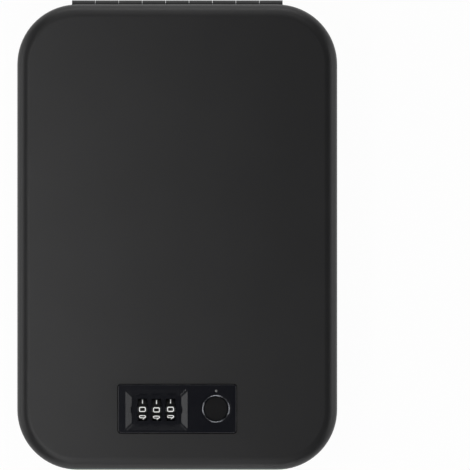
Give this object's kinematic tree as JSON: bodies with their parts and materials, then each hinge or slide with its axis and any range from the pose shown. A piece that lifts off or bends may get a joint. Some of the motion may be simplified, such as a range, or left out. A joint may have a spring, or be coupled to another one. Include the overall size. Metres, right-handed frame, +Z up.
{
  "type": "travel safe",
  "caption": "Flat two-shell steel travel safe with a piano hinge along the back, number wheels and a round fingerprint button in a bevelled lock panel.",
  "frame": {"origin": "centre of the flat underside of the tray, lid shut", "axes": "+X to the right across the case, +Y along the case to the hinge, +Z up through the lid"},
  "size_m": [0.165, 0.2423, 0.0465],
  "materials": {
    "powder_coat": "fine black powder coat, semi-matt",
    "zinc_steel": "zinc-plated mild steel",
    "spring_steel": "bright spring steel",
    "black_nylon": "moulded black nylon",
    "panel_abs": "fine-textured black ABS",
    "wheel_abs": "black ABS with plain white digits",
    "sensor_glass": "smooth dark sensor face",
    "chrome_trim": "polished",
    "lens_clear": "milky light pipe",
    "motor_can": "drawn nickel-plated can",
    "brass": "cut teeth, oiled",
    "zinc_cast": "zinc die casting",
    "board": "green solder mask",
    "battery_wrap": "blue shrink wrap",
    "foam": "soft black polyurethane foam"
  },
  "bodies": {
    "tray": {"base_shell": "powder_coat", "base_rim": "powder_coat", "strike_bracket": "zinc_steel", "hinge_leaf_base": "powder_coat", "hinge_pin": "zinc_steel", "base_liner": "foam", "cable_bush": "black_nylon"},
    "lid": {"lid_shell": "powder_coat", "hinge_leaf_lid": "powder_coat", "lid_liner": "foam", "lock_bezel": "panel_abs", "lock_case": "black_nylon", "lock_cover": "zinc_steel", "lid_standoffs": "zinc_steel", "cover_screws": "zinc_steel", "guide_pins": "zinc_steel", "detent_spring": "spring_steel", "button_ring": "chrome_trim", "led_lens": "lens_clear", "circuit_board": "board", "battery": "battery_wrap", "gear_motor": "motor_can", "button_spring": "spring_steel"},
    "bolt": {"latch_bolt": "zinc_steel"},
    "spindle": {"code_spindle": "zinc_steel"},
    "pinion": {"motor_pinion": "brass", "motor_shaft": "zinc_steel"},
    "button": {"release_button": "panel_abs", "finger_sensor": "sensor_glass"},
    "wheel_1": {"number_wheel_1": "wheel_abs", "gate_ring_1": "zinc_cast"},
    "wheel_2": {"number_wheel_2": "wheel_abs", "gate_ring_2": "zinc_cast"},
    "wheel_3": {"number_wheel_3": "wheel_abs", "gate_ring_3": "zinc_cast"}
  },
  "joints": [
    {"name": "lid_hinge", "type": "hinge", "parent": "tray", "child": "lid", "pos_m": [0, 0.12, 0.027], "axis": [-1, 0, 0], "range_deg": [0, 170]},
    {"name": "bolt_slide", "type": "slide", "parent": "lid", "child": "bolt", "axis": [0, -1, 0], "range_m": [0, 0.005]},
    {"name": "spindle_slide", "type": "slide", "parent": "lid", "child": "spindle", "axis": [-1, 0, 0], "range_m": [0, 0.00292]},
    {"name": "pinion_turn", "type": "hinge", "parent": "lid", "child": "pinion", "pos_m": [0.0045, -0.066, 0.0373], "axis": [-1, 0, 0], "range_deg": [0, 72.1]},
    {"name": "button_press", "type": "slide", "parent": "lid", "child": "button", "axis": [0, 0, -1], "range_m": [0, 0.0012], "stiffness_N_per_m": 250, "springref_m": -0.002, "deforming": ["button_spring"]},
    {"name": "wheel_1_turn", "type": "hinge", "parent": "lid", "child": "wheel_1", "pos_m": [-0.01789, -0.0891, 0.0395], "axis": [1, 0, 0], "continuous": true},
    {"name": "wheel_2_turn", "type": "hinge", "parent": "lid", "child": "wheel_2", "pos_m": [-0.01066, -0.0891, 0.0395], "axis": [1, 0, 0], "continuous": true},
    {"name": "wheel_3_turn", "type": "hinge", "parent": "lid", "child": "wheel_3", "pos_m": [-0.00343, -0.0891, 0.0395], "axis": [1, 0, 0], "continuous": true}
  ],
  "couplings": [
    {"joint": "spindle_slide", "follows": "bolt_slide", "ratio": 0.58},
    {"joint": "pinion_turn", "follows": "bolt_slide", "rad_per_m": 250}
  ]
}
